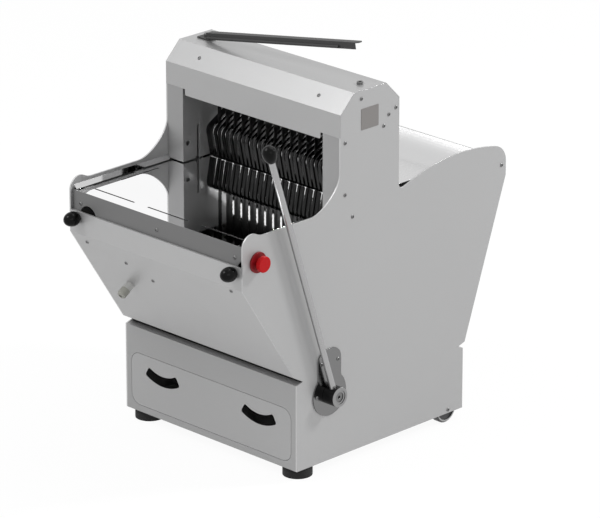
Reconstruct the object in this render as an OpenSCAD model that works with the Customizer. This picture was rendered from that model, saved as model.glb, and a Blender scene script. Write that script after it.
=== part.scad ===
/* [Body] */
// Width over the two side panels
body_w = 600; // [560:10:660]
// Thickness of the side panels
side_t = 4; // [3:0.5:6]
// Thickness of the folded covers
sheet_t = 2; // [1:0.5:3]
// Depth of the base, front to back
base_d = 585; // [560:5:620]
// Ground clearance under the base
ground_h = 27; // [24:1:30]
// Height of the base's front top corner above the floor
base_front_z = 250; // [244:1:256]
// Height of the base's rear top corner above the floor
base_rear_z = 187; // [180:1:200]
// Reach of the front edge ahead of the base
front_reach = 180; // [160:5:200]
// Drop from the table to the bend in the apron
apron_bend_drop = 108; // [88:4:128]
// Height of the apron's foot
apron_foot_z = 273; // [268:1:280]
// Height of the table above the floor
table_z = 648; // [640:1:656]
// Rise of the side panels above the table
rim_rise = 18.5; // [12:0.5:24]
// Radius of the ear at each panel's front corner
ear_r = 32; // [24:1:40]

/* [Rear wing] */
// Reach of the wing behind the base
wing_reach = 148; // [130:2:165]
// Drop from the table to where the wing's slanted edge turns upright
wing_bend_drop = 41; // [28:1:58]
// Radius of the wing's rear corner
wing_corner_r = 48; // [36:1:56]
// Drop from the table to that corner's centre
wing_corner_drop = 5; // [0:1:12]
// Rise of the valley between the wing and the tower above the table
valley_rise = 20; // [12:1:28]
// Rise of the chute's lip above the table
chute_rise = 42; // [30:1:50]
// Bend radius of the chute's rear
chute_r = 118; // [90:1:140]

/* [Tower] */
// Distance of the tower's front behind the base front
tower_y = 147; // [140:1:155]
// Depth of the tower
tower_d = 202; // [190:2:215]
// Rise of the tower above the table
tower_rise = 298; // [282:2:322]
// Size of the tower's chamfers
tower_chamfer = 46; // [36:1:54]
// Rise above the table where the tower's front edge starts to curve
tower_curve_rise = 103; // [92:1:122]
// Height of the header's front over the loaf opening
header_h = 120; // [114:1:131]
// Height of the header's front above the pillars
header_end_h = 104; // [96:1:110]
// Width of a pillar beside the loaf opening
pillar_w = 55; // [48:1:60]
// Depth of a pillar
pillar_d = 47; // [40:1:52]

/* [Knives] */
// Distance between neighbouring knives, the slice thickness
knife_pitch = 14; // [11:0.5:16]
// Depth of a knife from back to teeth
knife_w = 12; // [10:0.5:13]
// Thickness of a knife
knife_t = 0.8; // [0.6:0.1:1]
// Distance of the front knives behind the tower front
knife_inset = 102; // [98:1:104]
// Stroke of the knife frames
knife_stroke = 40; // [30:2:40]

/* [Pusher] */
// Width of one finger of the comb
finger_w = 7; // [5:0.5:8]
// Thickness of a finger
finger_t = 6; // [4:0.5:7]
// Lean of the fingers' legs, degrees
finger_lean = 11.4; // [8:0.2:14]
// Slope of the fingers' arms, degrees
finger_slope = 29; // [26:0.5:30]

/* [Lever] */
// Distance of the lever's shaft behind the base front
lever_y = 110; // [105:1:116]
// Height of the lever's shaft
lever_z = 201; // [199:0.5:204]
// Length from the shaft to the knob
lever_l = 708; // [650:2:740]
// Forward lean of the lever at rest, degrees
lever_lean = 18.2; // [15:0.2:22]
// Diameter of the lever's rod
lever_d = 16; // [12:1:18]
// Diameter of the lever's knob
lever_knob_d = 36; // [30:1:37]
// Radius of the lever's hub
hub_r = 25; // [22:0.5:28]
// Length of the lever's hub
hub_l = 34; // [30:1:40]
// Length of a rocker arm, shaft to pin
rocker_l = 300; // [292:1:304]

/* [Controls] */
// Diameter of the stop button's head
stop_d = 40; // [36:1:44]
// Diameter of the stop button's collar
stop_collar_d = 52; // [48:1:60]
// Travel of the stop button
stop_travel = 5; // [3:0.5:5]
// Diameter of a hand screw's knob
knob_d = 37; // [32:1:42]
// Reach of a hand screw's knob in front of the apron
knob_reach = 42; // [36:1:48]
// Diameter of the cable gland's body
gland_d = 22; // [18:1:25]
// Length of the cable gland
gland_l = 40; // [32:1:44]

/* [Drawer] */
// Width of the base front beside the drawer
drawer_edge = 16; // [13:1:26]
// Height of the drawer front
drawer_h = 137; // [130:1:140]
// Corner radius of the drawer front
drawer_r = 28; // [20:1:34]
// Distance from the drawer's back to the back of the base
drawer_back = 115; // [100:1:140]

/* [Feet and wheels] */
// Diameter of a front foot
foot_d = 74; // [60:1:80]
// Distance of a foot's centre behind the base front
foot_y = 42; // [40:1:60]
// Diameter of a rear wheel
wheel_d = 72; // [66:1:74]
// Width of a rear wheel
wheel_w = 24; // [18:1:28]
// Distance of the wheels' axle ahead of the base's back
wheel_back = 52; // [46:1:60]

/* [Bag arm] */
// Length of the bag arm from its bolt to its tip
arm_l = 542; // [500:2:560]
// Upward slope of the arm, degrees
arm_slope = 10; // [8:0.5:12]
// Height of the arm's web
arm_h = 17; // [12:1:20]
// Width of the arm's top flange
arm_w = 21; // [16:1:24]

/* [Drive] */
// Distance of the crankshaft behind the base front
crank_y = 261; // [260:0.5:262]
// Height of the crankshaft
crank_z = 338; // [337:0.5:342]
// Radius of the crankshaft and the lever's shaft
shaft_r = 12.5; // [11:0.5:14]
// Radius of the driven pulley
pulley_r = 75; // [68:1:76]
// Radius of the motor's pulley
motor_pulley_r = 38; // [32:1:44]
// Distance of the motor's axis behind the crankshaft
motor_gap = 185; // [180:1:195]
// Radius of the motor's body
motor_r = 62; // [56:1:66]
// Length of the motor's body
motor_l = 200; // [180:2:220]

/* [Hidden] */
$fn = 48;

// Overrun of a cut past the face it opens
cut = 1;
// Running clearance of a shaft in its bore
run_fit = 0.06;
// Clearance of a fixed pin in its hole
pin_fit = 0.1;
// Gap between pieces that pass each other
gap = 0.5;
// Gap between a resting face and the piece it slides on
slide_gap = 0.3;

half_w = body_w / 2;
in_x = half_w - side_t;
open_half = in_x - pillar_w;
rim_z = table_z + rim_rise;
apron_bend_z = table_z - apron_bend_drop;
wing_bend_z = table_z - wing_bend_drop;
wing_corner_z = table_z - wing_corner_drop;
valley_z = table_z + valley_rise;
tower_top = table_z + tower_rise;
tower_curve_z = table_z + tower_curve_rise;
skirt_z = tower_top - header_h;
skirt_end_z = tower_top - header_end_h;
wing_y = base_d + wing_reach;
tower_back = tower_y + tower_d;
under_table = table_z - sheet_t;
wheel_y = base_d - wheel_back;
drawer_w = 2 * (in_x - drawer_edge);
drawer_d = base_d - drawer_back;

function unit(v) = v / norm(v);
function left_of(v) = [-v[1], v[0]];
function arc_pts(c, r, from, to, n) =
    [for (i = [0:n]) let(a = from + (to - from) * i / n) c + r * [cos(a), sin(a)]];
function bez_pt(p, q, r, s, t) =
    pow(1 - t, 3) * p + 3 * t * pow(1 - t, 2) * q + 3 * t * t * (1 - t) * r + pow(t, 3) * s;
function bez_pts(p, q, r, s, n) = [for (i = [1:n]) bez_pt(p, q, r, s, i / n)];
function side_dir(p, i) = i > 0 ? unit(p[i] - p[i - 1]) : unit(p[1] - p[0]);
function next_dir(p, i) = i < len(p) - 1 ? unit(p[i + 1] - p[i]) : side_dir(p, i);
function mitre(p, i) = unit(left_of(side_dir(p, i)) + left_of(next_dir(p, i)));
function shifted(p, i, t) = p[i] + mitre(p, i) * t / (mitre(p, i) * left_of(side_dir(p, i)));
function strip(p, t) = concat(p, [for (i = [len(p) - 1:-1:0]) shifted(p, i, t)]);

module slab(lo, hi) translate(lo) cube(hi - lo);
module rod_x(x, to_x, at, r) translate([x, at[0], at[1]]) rotate([0, 90, 0]) cylinder(h = to_x - x, r = r);
module rod_y(y, to_y, at, r) translate([at[0], to_y, at[1]]) rotate([90, 0, 0]) cylinder(h = to_y - y, r = r);
module rod_z(z, to_z, at, r) translate([at[0], at[1], z]) cylinder(h = to_z - z, r = r);
module side_plate(x, to_x) translate([x, 0, 0]) rotate([90, 0, 90]) linear_extrude(to_x - x) children();
module front_plate(y, to_y) translate([0, to_y, 0]) rotate([90, 0, 0]) linear_extrude(to_y - y) children();
module both_sides() {
    children();
    mirror([1, 0, 0]) children();
}
module round_box(lo, hi, r) {
    translate(lo + [r, 0]) square([hi[0] - lo[0] - 2 * r, hi[1] - lo[1]]);
    translate(lo + [0, r]) square([hi[0] - lo[0], hi[1] - lo[1] - 2 * r]);
    for (x = [lo[0] + r, hi[0] - r], y = [lo[1] + r, hi[1] - r])
        translate([x, y]) circle(r);
}
module bar_2d(p, q, r, s) {
    side = left_of(unit(q - p));
    polygon([p + r * side, q + s * side, q - s * side, p - r * side]);
    translate(p) circle(r);
    translate(q) circle(s);
}
function egg_profile(r, neck, reach, crown, bore) =
    let(turn = acos(neck / r), mid = reach - crown, grip = mid / sin(turn)) concat(
        [[bore, 0]],
        [for (i = [0:egg_steps]) let(a = turn * (i / egg_steps - 1)) [r * cos(a), mid + grip * sin(a)]],
        [for (i = [1:egg_steps]) let(a = 90 * i / egg_steps) [max(0, r * cos(a)), mid + crown * sin(a)]],
        bore > 0 ? [[0, bore_share * reach], [bore, bore_share * reach]] : []);
egg_steps = 10;
bore_share = 0.45;

// Everything is modelled from the base's front and moved to stand centred on the floor
plate_t = 3;
screw_head_h = 2.8;
rod_x_at = half_w + plate_t + gap + hub_l / 2;
far_x = max(half_w + plate_t + gap + hub_l, rod_x_at + lever_knob_d / 2);
mid_x = (far_x - half_w - screw_head_h) / 2;
mid_y = (wing_y - front_reach - knob_reach) / 2;
module placed() translate([-mid_x, -mid_y, 0]) children();

// Side panels
waist_in = 21;
waist_rise = 6.5;
wing_foot_rise = 15;
wing_foot_reach = 6;
wing_top_a = 77;
wing_handle = 150;
valley_run = 23;
valley_handle = [70, 24];
valley_share = 0.2;
valley_fillet = 13;
apron_foot_reach = 8;
tower_curve_run = 98;
curve_share = 0.4;
ear_rise = 10.5;
ear_turn = 60;
ear_blend = 24;
ear_handle = 9;
arc_n = 14;
ear_c = [ear_r - front_reach, rim_z + ear_rise - ear_r];
ear_end = ear_c + ear_r * [cos(ear_turn), sin(ear_turn)];
wing_c = [wing_y - wing_corner_r, wing_corner_z];
wing_top = wing_c + wing_corner_r * [cos(wing_top_a), sin(wing_top_a)];
valley = [tower_back + valley_run, valley_z];
cover_in = sheet_t * (sqrt(2) - 1);
curve_top = [tower_y, tower_curve_z];
curve_foot = [tower_y - tower_curve_run, rim_z];
panel_outline = concat(
    [[0, ground_h], [base_d, ground_h], [base_d, base_rear_z], [base_d - waist_in, base_rear_z + waist_rise]],
    [[base_d + wing_foot_reach, base_rear_z + wing_foot_rise], [wing_y, wing_bend_z]],
    arc_pts(wing_c, wing_corner_r, 0, wing_top_a, arc_n),
    bez_pts(wing_top, wing_top + wing_handle * [-sin(wing_top_a), cos(wing_top_a)],
        valley + valley_handle, valley, 2 * arc_n),
    bez_pts(valley, valley - valley_share * valley_handle, [tower_back, valley_z],
        [tower_back, valley_z + valley_fillet], arc_n),
    [[tower_back, skirt_end_z], [tower_back - sheet_t, skirt_end_z]],
    [[tower_back - sheet_t, tower_top - tower_chamfer - cover_in]],
    [[tower_back - tower_chamfer - cover_in, tower_top - sheet_t]],
    [[tower_y + tower_chamfer + cover_in, tower_top - sheet_t]],
    [[tower_y + sheet_t, tower_top - tower_chamfer - cover_in]],
    [[tower_y + sheet_t, skirt_end_z], [tower_y, skirt_end_z], curve_top],
    bez_pts(curve_top, curve_top - [0, curve_share * (tower_curve_z - rim_z)],
        curve_foot + [curve_share * tower_curve_run, 0], curve_foot, arc_n),
    bez_pts([ear_end[0] + ear_blend, rim_z], [ear_end[0] + ear_blend - ear_handle, rim_z],
        ear_end + ear_handle * [sin(ear_turn), -cos(ear_turn)], ear_end, arc_n),
    arc_pts(ear_c, ear_r, ear_turn, 180, arc_n),
    [[-front_reach, apron_bend_z], [-apron_foot_reach, apron_foot_z]],
    [[waist_in, base_front_z + waist_rise], [0, base_front_z]]
);

// Button-head screws on the side panels: shares of the tower's depth and of its height over the table
screw_shares = [[0.35, 0.93], [0.94, 0.765], [0.82, 0.725], [0.735, 0.64], [0.08, 0.6], [0.08, 0.16]];
bearer_screw_share = 0.21;
bearer_screw_drop = 13.4;
screw_r = 3;
screw_head_r = 5;
screw_l = 8;
screw_key_r = 2.3;
screw_key_h = 2;
key_sides = 6;
wing_screw = [16, 28.5];
wheel_r = wheel_d / 2;
wheel_at = [wheel_y, wheel_r];
tower_screws = [for (s = screw_shares) [tower_y + s[0] * tower_d, table_z + s[1] * tower_rise]];
bearer_screw = [tower_y + bearer_screw_share * tower_d, table_z - bearer_screw_drop];
wing_screw_at = [wing_y - wing_screw[0], wing_bend_z + wing_screw[1]];
side_screws_at = concat(tower_screws, [bearer_screw, wing_screw_at, wheel_at]);
lever_at = [lever_y, lever_z];
plate_screws = [[-28, 83], [28, 83], [-43, 1], [43, 1]];
bearing_r = 20;
stop_back = 49.5;
stop_drop = 45.5;
stop_at = [stop_back - front_reach, table_z - stop_drop];
stop_stem_r = 11;
stop_hole_r = stop_stem_r + cut;

module key_socket(top, r, depth)
    translate([0, 0, top - depth]) cylinder(h = depth + cut, r = r, $fn = key_sides);
module screw() difference() {
    union() {
        rotate_extrude() polygon(concat([[0, 0], [screw_head_r, 0]],
            arc_pts([0, 0], 1, 0, 90, arc_n) * [[screw_head_r, 0], [0, screw_head_h]]));
        translate([0, 0, -screw_l]) cylinder(h = screw_l, r = screw_r);
    }
    key_socket(screw_head_h, screw_key_r, screw_key_h);
}
module screw_holes(x, to_x, list) for (p = list) rod_x(x, to_x, p, screw_r + pin_fit);

module side_panel_left() color("Silver") placed() difference() {
    side_plate(-half_w, -in_x) polygon(panel_outline);
    screw_holes(-half_w - cut, cut - in_x, side_screws_at);
}

module side_panel_right() color("Silver") placed() difference() {
    side_plate(in_x, half_w) polygon(panel_outline);
    screw_holes(in_x - cut, half_w + cut, side_screws_at);
    screw_holes(in_x - cut, half_w + cut, [for (p = plate_screws) lever_at + p]);
    rod_x(in_x - cut, half_w + cut, lever_at, bearing_r + pin_fit);
    rod_x(in_x - cut, half_w + cut, stop_at, stop_hole_r);
}

module side_screws() color("DimGray") placed() {
    both_sides() for (p = side_screws_at)
        translate([half_w, p[0], p[1]]) rotate([0, 90, 0]) screw();
    for (p = plate_screws)
        translate([half_w + plate_t, lever_y + p[0], lever_z + p[1]]) rotate([0, 90, 0]) screw();
}

// Base
flange_back = 3;
flange_rise = 4;
drawer_gap = 1;
drawer_foot = 18;
drawer_z = ground_h + drawer_foot;
well_w = 41;
well_gap = 7;
module base_front_panel() color("Silver") placed() difference() {
    side_plate(-in_x, in_x) polygon(strip([[0, ground_h], [0, base_front_z],
        [waist_in - flange_back, base_front_z + flange_rise]], -sheet_t));
    front_plate(-cut, sheet_t + cut)
        round_box([-drawer_w / 2 - drawer_gap, drawer_z - drawer_gap],
            [drawer_w / 2 + drawer_gap, drawer_z + drawer_h + drawer_gap], drawer_r + drawer_gap);
}

module base_floor() color("Gray") placed() difference() {
    slab([-in_x, sheet_t, ground_h], [in_x, base_d - sheet_t, ground_h + sheet_t]);
    both_sides() slab([in_x - well_w, wheel_y - wheel_r - well_gap, ground_h - cut],
        [in_x + cut, wheel_y + wheel_r + well_gap, ground_h + sheet_t + cut]);
}

module base_back_panel() color("Silver") placed() side_plate(-in_x, in_x)
    polygon(strip([[base_d, ground_h], [base_d, base_rear_z],
        [base_d - waist_in + flange_back, base_rear_z + flange_rise]], sheet_t));

foot_in = 2.5;
foot_top_share = 0.9;
foot_rim_share = 0.6;
module front_feet() color("Black") placed() both_sides()
    translate([half_w - foot_d / 2 - foot_in, foot_y, 0]) rotate_extrude() polygon([[0, 0], [foot_d / 2, 0],
        [foot_d / 2, foot_rim_share * ground_h], [foot_top_share * foot_d / 2, ground_h], [0, ground_h]]);

// Apron: places on it are shares of its half width and of its slanted face
hem_rise = 8.5;
flange_h = 51;
flange_drop = 7;
apron_top = table_z - flange_h;
apron_run = front_reach - apron_foot_reach;
apron_fall = apron_bend_z - apron_foot_z;
apron_a = 90 + atan2(apron_run, apron_fall);
screw_places = [[-0.858, 0.079], [-0.456, 0.184], [-0.2145, 0.307], [0.858, 0.041]];
gland_place = [-0.5936, 0.481];
gland_stem_r = 8;
hand_in = 24;
hand_drop = 15;
hand_x = in_x - hand_in;
hand_z = apron_top - hand_drop;
hand_stem_r = 5;
hand_neck_r = 12;
hand_stem_l = 16;
module on_apron(place)
    translate([place[0] * in_x, place[1] * apron_run - front_reach, apron_bend_z - place[1] * apron_fall])
        rotate([apron_a, 0, 0]) children();

module apron() color("Silver") placed() difference() {
    side_plate(-in_x, in_x) polygon(strip([[table_front - gap, apron_top], [-front_reach, apron_top],
        [-front_reach, apron_bend_z],
        [-apron_foot_reach, apron_foot_z], [waist_in - flange_back, base_front_z + hem_rise]], sheet_t));
    for (s = screw_places) on_apron(s)
        translate([0, 0, -sheet_t - cut]) cylinder(h = sheet_t + 2 * cut, r = screw_r + pin_fit);
    on_apron(gland_place)
        translate([0, 0, -sheet_t - cut]) cylinder(h = sheet_t + 2 * cut, r = gland_stem_r + pin_fit);
    both_sides()
        rod_y(-front_reach - cut, sheet_t + cut - front_reach, [hand_x, hand_z], hand_stem_r + run_fit);
}

hand_crown = 25;
module hand_screw(x) translate([x, -front_reach, hand_z]) rotate([90, 0, 0]) {
    translate([0, 0, slide_gap]) rotate_extrude()
        polygon(egg_profile(knob_d / 2, hand_neck_r, knob_reach - slide_gap, hand_crown, 0));
    translate([0, 0, -hand_stem_l]) cylinder(h = hand_stem_l + cut, r = hand_stem_r);
}
module hand_screw_left() color("Black") placed() hand_screw(-hand_x);
module hand_screw_right() color("Black") placed() hand_screw(hand_x);

gland_nut_share = 0.45;
gland_hole_share = 0.45;
gland_tip_share = 0.8;
gland_thread = 7;
gland_inner = 8;
gland_nut_z = gland_nut_share * gland_l;
gland_hole_r = gland_hole_share * gland_d / 2;
module gland_body() color("Gainsboro") placed() on_apron(gland_place) difference() {
    union() {
        cylinder(h = gland_nut_z, r = gland_d / 2);
        translate([0, 0, -gland_inner])
            cylinder(h = gland_inner + gland_nut_z + gland_thread, r = gland_stem_r);
    }
    translate([0, 0, -gland_l]) cylinder(h = 2 * gland_l, r = gland_hole_r);
}
module gland_cap() color("Gray") placed() on_apron(gland_place) difference() {
    translate([0, 0, gland_nut_z + pin_fit]) rotate_extrude() polygon([[0, 0], [gland_d / 2 + cut, 0],
        [gland_d / 2 + cut, gland_nut_z], [gland_tip_share * gland_d / 2, gland_l - gland_nut_z],
        [0, gland_l - gland_nut_z]]);
    cylinder(h = gland_nut_z + gland_thread + pin_fit, r = gland_stem_r + pin_fit);
    cylinder(h = gland_l + cut, r = gland_hole_r);
}

// Front table, its side rails and what carries them
table_front = flange_drop - front_reach;
knife_y = tower_y + knife_inset;
knife_gap = 24;
table_gap = 8;
table_back = knife_y - knife_w / 2 - table_gap;
table_side = 21;
rail_sheet = 1.5;
rail_run = 10;
rail_front = 5;
rail_end = 1;
slot_l = 140;
slot_w = 5;
slot_run = 38;
slot_step = 187;
side_slot_in = 37;
side_slot = [127, 253];
notch_r = 29;
notch_shift = 31;
notch_drop = 10.5;
flange_gap = 2;
flange_screw_rise = 20;
flange_screw_in = 29;
flange_screw_z = apron_top + flange_screw_rise;
flange_screws = [flange_screw_in - in_x, 0, in_x - flange_screw_in];
table_half = in_x - table_side;
module front_table() color("Gainsboro") placed() difference() {
    union() {
        slab([-table_half, table_front, under_table], [table_half, table_back, table_z]);
        slab([flange_gap - in_x, table_front, apron_top],
            [in_x - flange_gap, table_front + sheet_t, table_z]);
    }
    for (x = [-slot_step, 0, slot_step])
        slab([x - slot_l / 2, table_front + slot_run - slot_w / 2, under_table - cut],
            [x + slot_l / 2, table_front + slot_run + slot_w / 2, table_z + cut]);
    both_sides() slab([in_x - side_slot_in - slot_w / 2, table_front + side_slot[0], under_table - cut],
        [in_x - side_slot_in + slot_w / 2, table_front + side_slot[1], table_z + cut]);
    for (x = [notch_shift - hand_x, notch_shift + hand_x])
        rod_y(table_front - cut, table_front + sheet_t + cut, [x, apron_top - notch_drop], notch_r);
    for (x = flange_screws)
        rod_y(table_front - cut, table_front + sheet_t + cut, [x, flange_screw_z], screw_r + pin_fit);
}

module table_rails() color("Gainsboro") placed() both_sides()
    front_plate(table_front + rail_front, tower_y - rail_end) polygon(strip([[in_x, under_table],
        [in_x, table_z + rail_run], [in_x - rail_run, table_z]], rail_sheet));

bearer_l = 30;
bearer_w = 34;
bearer_h = 20;
bearer_first = 26;
bearer_second = 193;
bearer_ys = [table_front + bearer_first, table_front + bearer_second, bearer_screw[0] - bearer_l / 2];
module table_bearers() color("Gray") placed() both_sides() difference() {
    for (y = bearer_ys) {
        slab([in_x - bearer_w, y, under_table - sheet_t], [in_x, y + bearer_l, under_table]);
        slab([in_x - sheet_t, y, under_table - bearer_h], [in_x, y + bearer_l, under_table]);
    }
    screw_holes(in_x - sheet_t - cut, in_x + cut, [bearer_screw]);
}

beam_h = 25;
beam_d = 16;
beam_gap = 5;
chute_y = knife_y + knife_gap + knife_w;
module cross_beams() color("Gray") placed() {
    slab([-in_x, table_back - beam_gap - beam_d, under_table - beam_h],
        [in_x, table_back - beam_gap, under_table]);
    slab([-in_x, chute_y + sheet_t, under_table - beam_h],
        [in_x, chute_y + sheet_t + beam_d, under_table]);
}

// Rear chute and cover
chute_end = 93;
chute_slot_gap = 6;
chute_a = acos(1 - chute_rise / chute_r);
chute_lip_y = wing_y - chute_end;
chute_bend_y = chute_lip_y - chute_r * sin(chute_a);
lip_gap = 2.8;
hem_back = 4;
hem_up = 10;
chute_path = concat([[chute_y, table_z]],
    arc_pts([chute_bend_y, table_z + chute_r], chute_r, -90, chute_a - 90, arc_n));
// Two slots in the chute's sides let the pusher's legs through
module rear_chute() color("Gainsboro") placed() difference() {
    side_plate(-in_x, in_x) polygon(strip(chute_path, -sheet_t));
    both_sides() slab([open_half, chute_y - cut, table_z - sheet_t - cut],
        [in_x + cut, leg_y[1] + push_stroke + chute_slot_gap, table_z + cut]);
}

module rear_cover() color("Silver") placed() side_plate(-in_x, in_x) polygon(strip([
    [base_d - waist_in + hem_back, base_rear_z + hem_up],
    [base_d + wing_foot_reach, base_rear_z + wing_foot_rise], [wing_y, wing_bend_z],
    [wing_y, wing_corner_z], [chute_lip_y + lip_gap, table_z + chute_rise]], sheet_t));

// Top cover and pillars
skirt_in = 8;
skirt_r = 5;
bolt_in = 38;
bolt_back = 105;
bolt_y = tower_y + bolt_back;
bolt_r = 5;
bolt_head_r = 8;
bolt_head_h = 6;
bolt_key_r = 4.6;
bolt_key_h = 4;
bolt_l = 14;
chamfer_screw_x = 205;
cover_path = [[tower_y, skirt_end_z], [tower_y, tower_top - tower_chamfer],
    [tower_y + tower_chamfer, tower_top], [tower_back - tower_chamfer, tower_top],
    [tower_back, tower_top - tower_chamfer], [tower_back, skirt_end_z]];
module on_chamfer(x) translate([x, tower_y + tower_chamfer / 2, tower_top - tower_chamfer / 2])
    rotate([45, 0, 0]) children();

module top_cover() color("Gainsboro") placed() difference() {
    union() {
        side_plate(-half_w, half_w) polygon(strip(cover_path, -sheet_t));
        front_plate(tower_y, tower_y + sheet_t)
            round_box([skirt_in - open_half, skirt_z],
                [open_half - skirt_in, skirt_end_z + 2 * skirt_r], skirt_r);
    }
    both_sides() {
        rod_z(tower_top - sheet_t - cut, tower_top + cut, [half_w - bolt_in, bolt_y], bolt_r + pin_fit);
        on_chamfer(chamfer_screw_x)
            translate([0, 0, -sheet_t - cut]) cylinder(h = sheet_t + 2 * cut, r = screw_r + pin_fit);
    }
}

module front_screws() color("DimGray") placed() {
    for (s = screw_places) on_apron(s) screw();
    for (x = flange_screws) translate([x, table_front, flange_screw_z]) rotate([90, 0, 0]) screw();
    both_sides() on_chamfer(chamfer_screw_x) screw();
}

// Each pillar's inner wall runs on past the knives and has one upright slot
pillar_gap = 3;
pillar_flange = 25;
pillar_hole_r = 6;
pillar_round = 12;
liner_d = 165;
liner_slot = 6.5;
liner_slot_h = 86;
pillar_foot = table_z + pillar_gap;
pillar_head = skirt_end_z - slide_gap;
pillar_back = tower_y + pillar_d;
module pillars() color("Silver") placed() both_sides() difference() {
    translate([0, 0, pillar_foot]) linear_extrude(pillar_head - pillar_foot) polygon(strip([
        [in_x, tower_y + pillar_flange], [in_x, tower_y], [open_half, tower_y],
        [open_half, tower_y + liner_d]], -sheet_t));
    screw_holes(in_x - sheet_t - cut, in_x + cut, [tower_screws[4], tower_screws[5]]);
    rod_x(open_half - cut, open_half + sheet_t + cut, tower_screws[5], pillar_hole_r);
    side_plate(open_half - cut, open_half + sheet_t + cut) {
        translate([pillar_back, pillar_foot - cut]) square([liner_slot, liner_slot_h + cut]);
        translate([pillar_back - pillar_round, pillar_foot]) difference() {
            translate([0, -cut]) square(pillar_round + cut);
            translate([0, pillar_round]) circle(pillar_round);
        }
    }
}

module bolt(x, z) difference() {
    union() {
        rod_z(tower_top - bolt_l, z, [x, bolt_y], bolt_r);
        rod_z(z, z + bolt_head_h, [x, bolt_y], bolt_head_r);
    }
    translate([x, bolt_y, 0]) key_socket(z + bolt_head_h, bolt_key_r, bolt_key_h);
}
module top_bolts() color("DimGray") placed() {
    bolt(half_w - bolt_in, tower_top);
    bolt(bolt_in - half_w, arm_foot_z + arm_t + slide_gap);
}

// Bag arm: a horizontal foot tab, then a Z section that slopes up, with a rolled lip along its lower edge
arm_t = 3;
arm_sheet = 2;
arm_foot_z = tower_top + slide_gap;
arm_foot_r = 14;
arm_web_y = -17;
arm_start = 16;
arm_tip_r = 9;
arm_lip_r = 4;
arm_lip_short = 64;
arm_run = arm_l - arm_start - arm_tip_r;
module bag_arm() color("DimGray") placed() translate([bolt_in - half_w, bolt_y, arm_foot_z]) difference() {
    union() {
        cylinder(h = arm_t, r = arm_foot_r);
        slab([-arm_foot_r, arm_web_y - arm_lip_r, 0], [arm_start + arm_foot_r, 0, arm_t]);
        translate([arm_start, 0, 0]) rotate([0, -arm_slope, 0]) {
            slab([0, arm_web_y, 0], [arm_run, arm_web_y + arm_sheet, arm_h]);
            slab([0, arm_web_y, arm_h - arm_sheet], [arm_run, arm_web_y + arm_w, arm_h]);
            translate([arm_run, arm_web_y, arm_h - arm_sheet])
                linear_extrude(arm_sheet) round_box([-2 * arm_tip_r, 0], [arm_tip_r, arm_w], arm_tip_r);
            rod_x(arm_t, arm_l - arm_start - arm_lip_short, [arm_web_y, arm_lip_r], arm_lip_r);
        }
    }
    rod_z(-cut, arm_t + bolt_head_h, [0, 0], bolt_r + run_fit);
}

// Drawer and its runners
tray_in = 9;
tray_wall = 1.5;
tray_h = 110;
tray_lip_z = 104;
tray_x = drawer_w / 2 - tray_in;
// The tray's floor is raised until its corners pass the rounded corners of the opening
tray_z = drawer_z + drawer_r + gap - sqrt(pow(drawer_r, 2) - pow(drawer_r - tray_in, 2));
lip_in = 1;
// Hand holes: bands of a ring, open upwards, with eased corners
grip_share = 0.604;
grip_rise = 83.5;
grip_x = grip_share * drawer_w / 2;
grip_z = drawer_z + grip_rise;
grip_r = 106.5;
grip_w = 27;
grip_a = 31;
grip_ease = 6;
grip_out = grip_r + grip_w / 2 - grip_ease;
grip_in = grip_r - grip_w / 2 + grip_ease;
turn_out = grip_a - asin(grip_ease / grip_out);
turn_in = grip_a - asin(grip_ease / grip_in);
function grip_spot(r, a) = r * [sin(a), -cos(a)];
grip_outline = concat(
    arc_pts([0, 0], grip_out + grip_ease, -90 - turn_out, turn_out - 90, arc_n),
    arc_pts(grip_spot(grip_out, turn_out), grip_ease, turn_out - 90, grip_a, arc_n),
    arc_pts(grip_spot(grip_in, turn_in), grip_ease, grip_a, 90 + turn_in, arc_n),
    arc_pts([0, 0], grip_in - grip_ease, turn_in - 90, -90 - turn_in, arc_n),
    arc_pts(grip_spot(grip_in, -turn_in), grip_ease, 90 - turn_in, 180 - grip_a, arc_n),
    arc_pts(grip_spot(grip_out, -turn_out), grip_ease, 180 - grip_a, 270 - turn_out, arc_n));
module crumb_drawer() color("Silver") placed() {
    front_plate(0, sheet_t) difference() {
        round_box([-drawer_w / 2, drawer_z], [drawer_w / 2, drawer_z + drawer_h], drawer_r);
        for (x = [-grip_x, grip_x]) translate([x, grip_z + grip_r]) polygon(grip_outline);
    }
    difference() {
        slab([-tray_x, sheet_t, tray_z], [tray_x, drawer_d, drawer_z + tray_h]);
        slab([tray_wall - tray_x, sheet_t - cut, tray_z + tray_wall],
            [tray_x - tray_wall, drawer_d - tray_wall, drawer_z + tray_h + cut]);
    }
    both_sides() slab([tray_x, sheet_t, drawer_z + tray_lip_z],
        [drawer_w / 2 - lip_in, drawer_d, drawer_z + tray_lip_z + tray_wall]);
}

runner_gap = 2.5;
runner_h = 20;
runner_front = 6;
runner_top = drawer_z + tray_lip_z - slide_gap;
module drawer_runners() color("Gray") placed() both_sides() {
    slab([tray_x + runner_gap, sheet_t + runner_front, runner_top - sheet_t], [in_x, drawer_d, runner_top]);
    slab([in_x - sheet_t, sheet_t + runner_front, runner_top - runner_h], [in_x, drawer_d, runner_top]);
}

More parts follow.
